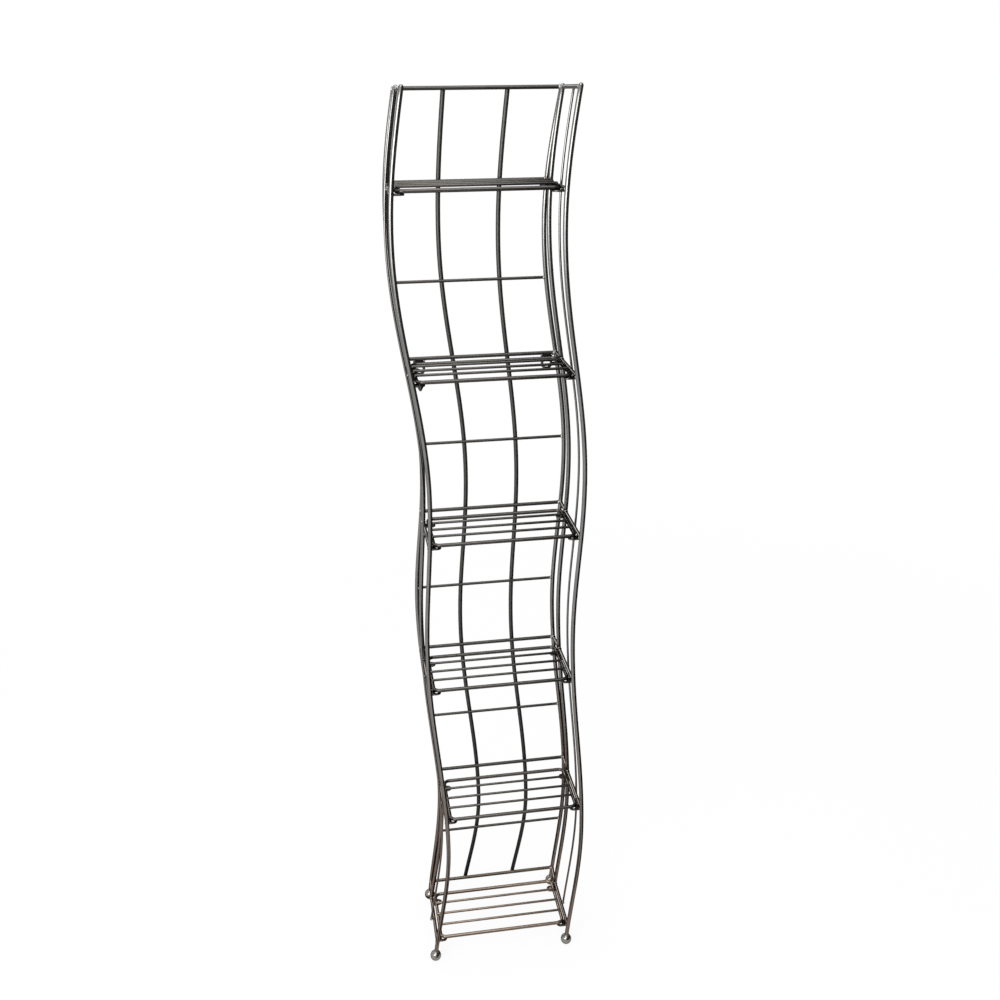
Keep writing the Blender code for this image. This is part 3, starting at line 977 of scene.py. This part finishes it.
@dataclass
class Shelf:
    """A rim of rod with rounded corners and three thin wires welded across its side rails."""

    number: int
    level: float
    depth: float = 0.0910
    setback: float = 0.0080
    corner: float = 0.0080
    corner_steps: int = 12
    wire_count: int = 3
    wire_radius: float = 0.00175
    wire_overhang: float = 0.0015
    wire_end_rounding: float = 0.7
    bead_spread: float = 0.0014
    bead_lift: float = 0.0004

    def build(self, finishes: Finishes, welds: WeldShop) -> None:
        """Builds and dresses the shelf.

        Args:
            finishes: Materials by finish name.
            welds: Shop that lays the weld beads.
        """
        finish = finishes[SHELF_FINISH.name]
        low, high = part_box(f"shelf_{self.number}")
        half_width = (high.x - low.x) / 2 - BAR_RADIUS
        middle = Vector(((low.x + high.x) / 2, FRONT_Y + self.setback, self.level))
        path = self.rim_path(middle, half_width)
        rim = draw_rod(f"shelf_{self.number}_rim", path, BAR_RADIUS, closed=True)
        fit(rim, finish, Slot.SHELF, f"shelf_{self.number}")
        lift = BAR_RADIUS + self.wire_radius - WELD_SINK
        reach = half_width + self.wire_overhang
        bead_z = lift - self.wire_radius + self.bead_lift
        wires = []
        for i in range(1, self.wire_count + 1):
            y = self.depth * i / (self.wire_count + 1)
            ends = [middle + Vector((side * reach, y, lift)) for side in ENDS]
            path = straight(*ends, self.wire_radius, self.wire_end_rounding)
            wires.append(draw_rod("wire", path, self.wire_radius, roundness=6))
            for side in ENDS:
                for end in ENDS:
                    bead = middle + Vector((side * half_width, y + end * self.bead_spread, bead_z))
                    welds.spot_at(bead, RIGHTWARD, SHELF_BEAD)
        fit(join(f"shelf_{self.number}_wires", wires), finish, Slot.SHELF)
        welds.gather(f"shelf_{self.number}_welds", finishes[WELD_FINISH.name], Slot.SHELF)

    def rim_path(self, middle: Vector, half_width: float) -> list[Station]:
        """Centre line of the rim.

        Args:
            middle: Middle of the front rail.
            half_width: Half the distance between the side rails.

        Returns:
            The path's stations.
        """
        x = half_width - self.corner
        y = self.depth - self.corner
        path = []
        for cx, cy, first in ((x, y, 0), (-x, y, 90), (-x, self.corner, 180), (x, self.corner, 270)):
            for step in range(self.corner_steps + 1):
                angle = math.radians(first + 90.0 * step / self.corner_steps)
                swing = Vector((math.cos(angle), math.sin(angle), 0.0)) * self.corner
                path.append(Station(middle + Vector((cx, cy, 0.0)) + swing))
        return path


@dataclass
class ThumbScrew:
    """A screw with a pointed head that holds a shelf corner to its tab from below."""

    name: str
    seat: Vector
    head_radius: float = 0.0045
    head_height: float = 0.0062
    shank_radius: float = 0.0019
    shank_length: float = 0.0026
    point_share: float = 0.6

    def build(self, finishes: Finishes) -> None:
        """Builds and dresses the screw.

        Args:
            finishes: Materials by finish name.
        """
        deselect()
        bpy.ops.mesh.primitive_cone_add(
            vertices=24,
            radius1=self.shank_radius * self.point_share,
            radius2=self.head_radius,
            depth=self.head_height,
            location=self.seat - Vector((0.0, 0.0, self.head_height / 2)),
        )
        screw = bpy.context.object
        bpy.ops.object.transform_apply(location=True, rotation=True, scale=True)
        bpy.ops.object.mode_set(mode="EDIT")
        bpy.ops.mesh.select_mode(type="FACE")
        bpy.ops.mesh.select_all(action="DESELECT")
        bpy.ops.object.mode_set(mode="OBJECT")
        # The shank grows from the flat upper face of the head
        for face in screw.data.polygons:
            face.select = face.normal.z > FACING_UP
        bpy.ops.object.mode_set(mode="EDIT")
        bpy.ops.mesh.inset(thickness=self.head_radius - self.shank_radius)
        bpy.ops.mesh.extrude_region_move(TRANSFORM_OT_translate={"value": (0.0, 0.0, self.shank_length)})
        bpy.ops.object.mode_set(mode="OBJECT")
        ease_edges(screw, width=0.0006, segments=3, least_angle=40.0)
        bpy.ops.object.shade_smooth_by_angle(angle=PLATE_SMOOTH_ANGLE)
        screw.name = self.name
        fit(screw, finishes[PLATE_FINISH.name], Slot.BAR)


def fit_screws(tab: PunchedPlate, finishes: Finishes) -> None:
    """Puts a screw under both left tabs of the fitted shelf.

    Args:
        tab: The tab that each screw goes through.
        finishes: Materials by finish name.
    """
    side = SIDES[0]
    level = SHELF_LEVELS[FITTED_SHELF - 1] - CROSSBAR_DROP
    x = side.frame_x(level) + tab.reach
    z = level - BAR_RADIUS + WELD_SINK - tab.thickness
    for place, y in (("front", FRONT_Y + TAB_FROM_UPRIGHT), ("rear", REAR_Y - TAB_FROM_UPRIGHT)):
        name = f"{side.label}_shelf_{FITTED_SHELF}_{place}_screw"
        ThumbScrew(name, Vector((x, y, z))).build(finishes)


@dataclass
class BallFoot:
    """A ball on the end of a leg, flattened where it stands, with a weld ring at its neck."""

    label: str
    place: str
    x: float
    y: float
    bend: Bend
    radius: float = 0.0080
    flat_radius: float = 0.0025
    neck_lift: float = 0.0074

    def build(self, finishes: Finishes, welds: WeldShop) -> None:
        """Builds and dresses the foot.

        Args:
            finishes: Materials by finish name.
            welds: Shop that lays the weld beads.
        """
        node = f"{self.label}_{self.place}_foot"
        low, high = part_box(node)
        height = math.sqrt(self.radius**2 - self.flat_radius**2)
        centre = Vector(((low.x + high.x) / 2, self.y, height))
        deselect()
        bpy.ops.mesh.primitive_uv_sphere_add(segments=48, ring_count=32, radius=self.radius, location=centre)
        ball = bpy.context.object
        ball.name = f"{node}_ball"
        bpy.ops.object.transform_apply(location=True, rotation=True, scale=True)
        bpy.ops.object.mode_set(mode="EDIT")
        bpy.ops.mesh.select_all(action="SELECT")
        bpy.ops.mesh.bisect(
            plane_co=(centre.x, centre.y, 0.0),
            plane_no=(0.0, 0.0, -1.0),
            use_fill=True,
            clear_outer=True,
            threshold=CUT_PRECISION,
        )
        bpy.ops.object.mode_set(mode="OBJECT")
        bpy.ops.object.shade_smooth_by_angle(angle=FOOT_SMOOTH_ANGLE)
        fit(ball, finishes[FOOT_FINISH.name], Slot.FOOT, node)
        neck_height = height + self.neck_lift
        slope = self.bend.slope(neck_height)
        neck = Vector((self.x + self.bend.at(neck_height), self.y, neck_height))
        welds.ring_at(neck, Vector((slope, 0.0, 1.0)), UPRIGHT_RADIUS)


@dataclass(frozen=True)
class DarkCard:
    """A card that only gloss sees: its middle, its size and its turns about X and Y in degrees."""

    name: str
    place: Triple
    size: Pair
    turn: Pair = (0.0, 0.0)


@dataclass(frozen=True)
class SoftLamp:
    """A lamp that faces the tower: its place, the width and height of its face, and its watts."""

    name: str
    place: Triple
    size: Pair
    power: float


# Plated rod shows what stands round it: the cards give it its dark side, the lamps its bright stripes
DARK_CARDS = (
    DarkCard("dark_wall_card", (0.50, -0.2, 1.2), (2.4, 4.8), turn=(0.0, 90.0)),
    DarkCard("dark_front_card", (0.32, -2.2, 0.9), (1.36, 0.8), turn=(90.0, 0.0)),
    DarkCard("dark_floor_card", (0.375, 0.2, 0.0), (0.35, 4.0)),
    # These two cards stand for the tower's shadow on the floor under its left half and in front of it, as
    # the plating mirrors it: painted shadow
    DarkCard("shadow_base_card", (-0.045, 0.10, 0.0), (0.16, 0.30)),
    DarkCard("shadow_front_floor_card", (-0.045, -0.22, 0.0), (0.16, 0.24)),
)
SOFT_LAMPS = (
    SoftLamp("window_lamp", (-1.0, -1.35, 1.20), (1.4, 0.52), 14.0),
    SoftLamp("low_window_lamp", (-1.0, -1.35, 0.82), (1.4, 0.24), 3.2),
    SoftLamp("back_lamp", (-0.75, 2.4, 1.75), (1.1, 0.7), 12.0),
    SoftLamp("front_lamp", (-0.2, -1.5, 2.7), (2.2, 1.4), 26.0),
    SoftLamp("top_lamp", (-0.2, 0.2, 2.9), (1.6, 1.6), 22.0),
)


@dataclass
class Studio:
    """White surroundings, dark cards, soft lamps and the camera."""

    eye: Vector = field(default_factory=lambda: Vector((-0.18425, -1.2891, 1.2173)))
    right: Vector = field(default_factory=lambda: Vector((0.98775, -0.15570, -0.01030)))
    up: Vector = field(default_factory=lambda: Vector((0.06618, 0.35819, 0.93130)))
    lens_mm: float = 37.866
    sensor_mm: float = 36.0
    world_fill: float = 0.55
    floor_size: float = 90.0
    floor_drop: float = 0.0002
    fade_distances: Pair = (0.4, 2.0)
    fade_shares: Pair = (0.90, 1.0)
    lamp_aim_limit: float = 0.9

    def build(self) -> None:
        """Builds the world, the floor, the cards, the lamps and the camera."""
        self.world()
        self.floor()
        black = bpy.data.materials.new("black_card")
        black.use_nodes = True
        black.node_tree.nodes["Principled BSDF"].inputs["Base Color"].default_value = CARD_BLACK
        for card in DARK_CARDS:
            self.set_card(card, black)
        for lamp in SOFT_LAMPS:
            self.hang_lamp(lamp)
        self.camera()
        bpy.context.scene.view_settings.view_transform = "Standard"

    def seen(self, tree: bpy.types.NodeTree) -> bpy.types.NodeSocket:
        """One where a ray comes straight from the camera, from gloss or through glass.

        Args:
            tree: Node tree that takes the nodes.

        Returns:
            The output socket.
        """
        path = add_node(tree, "ShaderNodeLightPath").outputs
        gloss = add_node(
            tree, "ShaderNodeMath", {0: path["Is Camera Ray"], 1: path["Is Glossy Ray"]}, operation="MAXIMUM"
        ).outputs[0]
        return add_node(
            tree, "ShaderNodeMath", {0: gloss, 1: path["Is Transmission Ray"]}, operation="MAXIMUM"
        ).outputs[0]

    def world(self) -> None:
        """Makes the surroundings white to the eye and soft as a light."""
        world = bpy.data.worlds.new("white_surroundings")
        bpy.context.scene.world = world
        world.use_nodes = True
        tree = world.node_tree
        strength = remap(tree, self.seen(tree), (0.0, 1.0), (self.world_fill, 1.0))
        background = tree.nodes["Background"]
        background.inputs["Color"].default_value = WHITE
        tree.links.new(strength, background.inputs["Strength"])

    def floor(self) -> None:
        """Lays a white floor that takes the tower's shadow and fades into the surroundings."""
        deselect()
        bpy.ops.mesh.primitive_plane_add(size=self.floor_size, location=(0.0, 0.0, -self.floor_drop))
        floor = bpy.context.object
        floor.name = "studio_floor"
        material = bpy.data.materials.new("white_floor")
        material.use_nodes = True
        tree = material.node_tree
        shader = tree.nodes["Principled BSDF"]
        shader.inputs["Base Color"].default_value = FLOOR_WHITE
        shader.inputs["Roughness"].default_value = 0.9
        shader.inputs["Specular IOR Level"].default_value = 0.1
        glow = add_node(tree, "ShaderNodeEmission", {"Color": WHITE, "Strength": 1.0})
        place = add_node(tree, "ShaderNodeTexCoord").outputs["Object"]
        distance = add_node(tree, "ShaderNodeVectorMath", {0: place}, operation="LENGTH").outputs["Value"]
        far = remap(tree, distance, self.fade_distances, self.fade_shares)
        share = add_node(
            tree, "ShaderNodeMath", {0: self.seen(tree), 1: far}, operation="MULTIPLY"
        ).outputs[0]
        mixed = add_node(
            tree, "ShaderNodeMixShader", {0: share, 1: shader.outputs[0], 2: glow.outputs[0]}
        )
        tree.links.new(mixed.outputs[0], tree.nodes["Material Output"].inputs["Surface"])
        floor.data.materials.append(material)

    def set_card(self, card: DarkCard, black: bpy.types.Material) -> None:
        """Sets up a dark card, hidden from the camera, that casts no shadow.

        Args:
            card: The card.
            black: Its material.
        """
        deselect()
        turn = (*map(math.radians, card.turn), 0.0)
        bpy.ops.mesh.primitive_plane_add(size=1.0, location=card.place, rotation=turn)
        sheet = bpy.context.object
        sheet.name = card.name
        sheet.scale = (*card.size, 1.0)
        sheet.data.materials.append(black)
        sheet.visible_camera = False
        sheet.visible_diffuse = False
        sheet.visible_shadow = False

    def hang_lamp(self, lamp: SoftLamp) -> None:
        """Hangs a soft lamp so that it faces the tower's middle line.

        Args:
            lamp: The lamp.
        """
        light = bpy.data.lights.new(lamp.name, "AREA")
        light.shape = "RECTANGLE"
        light.size, light.size_y = lamp.size
        light.energy = lamp.power
        holder = bpy.data.objects.new(lamp.name, light)
        holder.location = lamp.place
        aim = Vector((0.0, 0.0, min(lamp.place[2], self.lamp_aim_limit))) - Vector(lamp.place)
        holder.rotation_euler = aim.to_track_quat("-Z", "Y").to_euler()
        bpy.context.scene.collection.objects.link(holder)

    def camera(self) -> None:
        """Sets the camera at the photograph's place."""
        lens = bpy.data.cameras.new("photo_camera")
        lens.sensor_width = self.sensor_mm
        lens.lens = self.lens_mm
        lens.clip_start = 0.01
        camera = bpy.data.objects.new("photo_camera", lens)
        back = self.right.cross(self.up)
        turn = Matrix((self.right, self.up, back)).transposed().to_4x4()
        camera.matrix_world = Matrix.Translation(self.eye) @ turn
        bpy.context.scene.collection.objects.link(camera)
        bpy.context.scene.camera = camera


def main() -> None:
    """Builds the tower's looks piece by piece."""
    logging.basicConfig(level=logging.INFO, format="%(name)s %(message)s")
    for item in list(bpy.data.objects):
        bpy.data.objects.remove(item)
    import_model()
    finishes = {finish.name: finish.material() for finish in ALL_FINISHES}
    welds = WeldShop()
    welds.model()
    tab = shelf_tab()
    for side in SIDES:
        SideFrame(side, tab).build(finishes, welds)
    fit_screws(tab, finishes)
    tab.clear()
    BackPanel().build(finishes, welds)
    for number, level in enumerate(SHELF_LEVELS, 1):
        Shelf(number, level).build(finishes, welds)
    for side in SIDES:
        front_x = side.sign * FRAME_HALF
        rear_x = side.sign * PANEL_HALF
        BallFoot(side.label, "front", front_x, FRONT_Y, side.frame_bend).build(finishes, welds)
        BallFoot(side.label, "rear", rear_x, PANEL_Y, side.rod_bend).build(finishes, welds)
    welds.gather("foot_welds", finishes[WELD_FINISH.name], Slot.FOOT)
    welds.clear()
    Studio().build()


if __name__ == "__main__":
    main()
